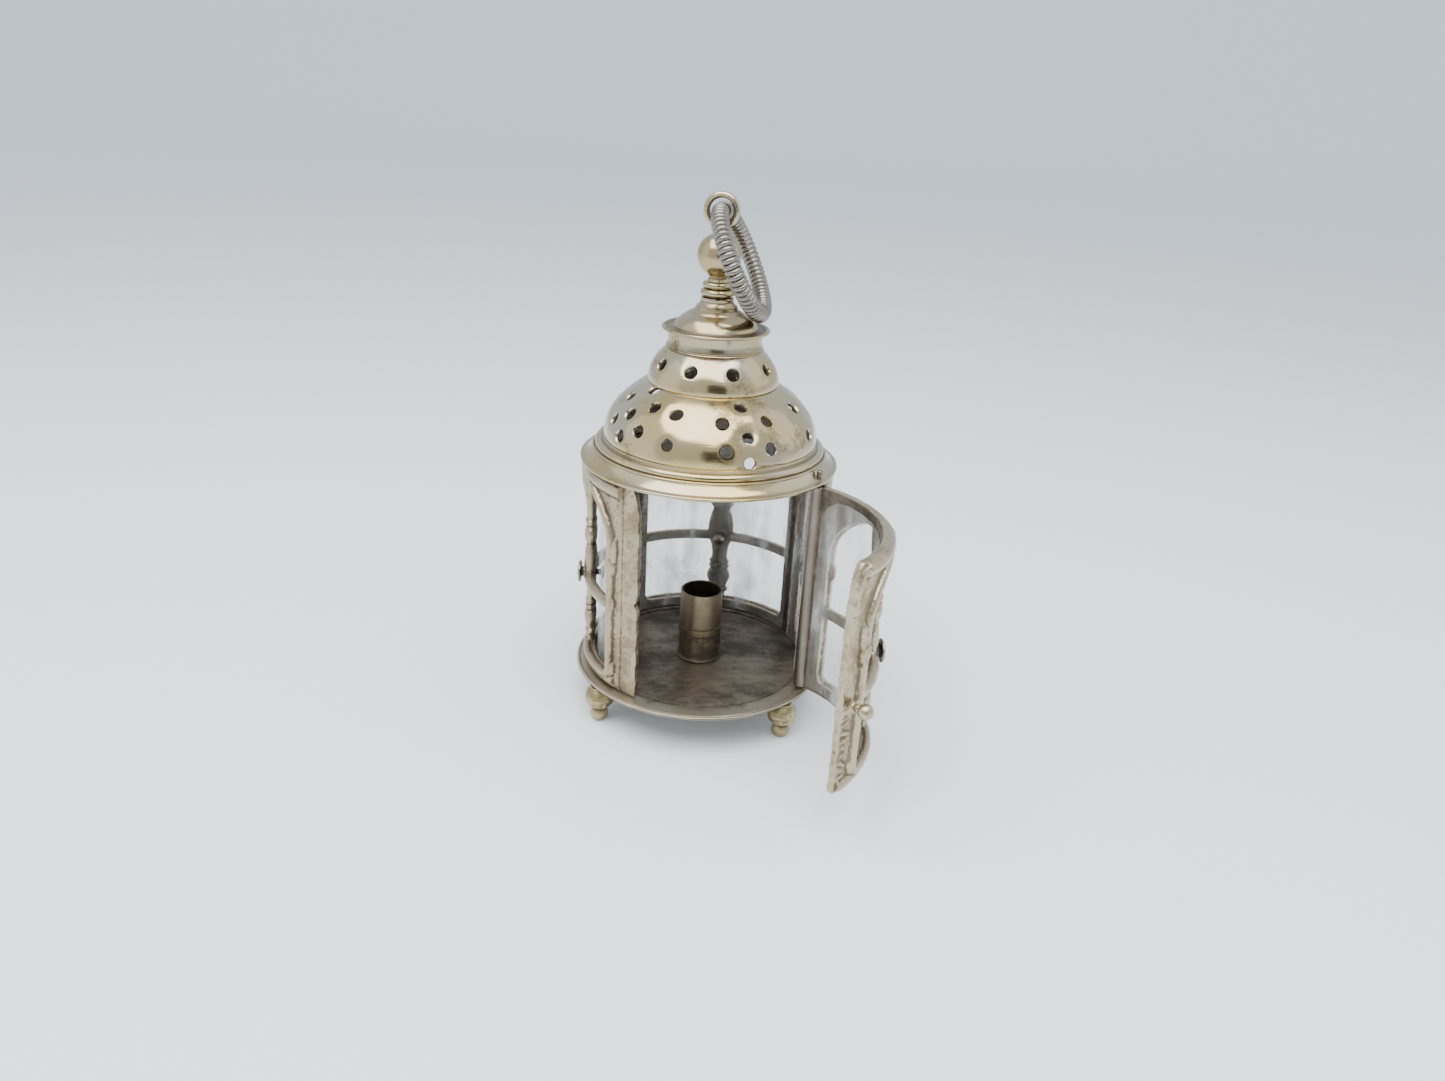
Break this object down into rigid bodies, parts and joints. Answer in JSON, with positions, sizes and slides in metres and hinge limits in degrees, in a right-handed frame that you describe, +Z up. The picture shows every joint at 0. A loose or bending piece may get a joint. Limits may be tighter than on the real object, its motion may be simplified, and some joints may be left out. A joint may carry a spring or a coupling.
{
  "type": "candle lantern",
  "caption": "Small round metal candle lantern with arched, glazed frames, a hinged door, a pierced domed roof, ball feet and a twisted wire carrying loop.",
  "frame": {"origin": "centre of the flat middle of the base plate's underside", "axes": "+Z up along the lantern's axis, -Y towards the front, where the door opens, +X towards the door's hinge side"},
  "size_m": [0.0447, 0.0554, 0.0762],
  "materials": {
    "silver_gilt": "gilded silver, worn satin",
    "cast_silver": "cast silver, polished high and tarnished low",
    "tarnished_silver": "silver sheet, tarnished",
    "dark_brass": "brass, tarnished",
    "clear_mica": "clear mica, a little hazy",
    "oxidised_silver": "silver, oxidised in its grooves"
  },
  "bodies": {
    "lantern": {"base_plate": "tarnished_silver", "foot_front_left": "silver_gilt", "foot_front_right": "silver_gilt", "foot_back_right": "silver_gilt", "foot_back_left": "silver_gilt", "candle_socket": "dark_brass", "left_frame": "cast_silver", "back_frame": "cast_silver", "right_frame": "cast_silver", "left_pane": "clear_mica", "back_pane": "clear_mica", "right_pane": "clear_mica", "left_rivet": "oxidised_silver", "back_rivet": "oxidised_silver", "right_rivet": "oxidised_silver", "hinge_pin": "oxidised_silver", "roof_ring": "cast_silver", "roof_brim": "silver_gilt", "lower_dome": "silver_gilt", "upper_dome": "silver_gilt", "neck_collar": "silver_gilt", "cap": "silver_gilt", "finial_stem": "silver_gilt", "finial_eye": "silver_gilt"},
    "door": {"door_frame": "cast_silver", "door_pane": "clear_mica", "door_rivet": "oxidised_silver", "door_knob": "cast_silver"},
    "loop": {"loop_core": "oxidised_silver", "loop_winding": "oxidised_silver"}
  },
  "joints": [
    {"name": "door_hinge", "type": "hinge", "parent": "lantern", "child": "door", "pos_m": [0.0157, -0.00817, 0.0169], "axis": [0, 0, 1], "range_deg": [-83.5, 40]},
    {"name": "loop_swing", "type": "hinge", "parent": "lantern", "child": "loop", "pos_m": [0, 0, 0.06793], "axis": [-0.1392, -0.9903, 0], "range_deg": [0, 300]}
  ]
}
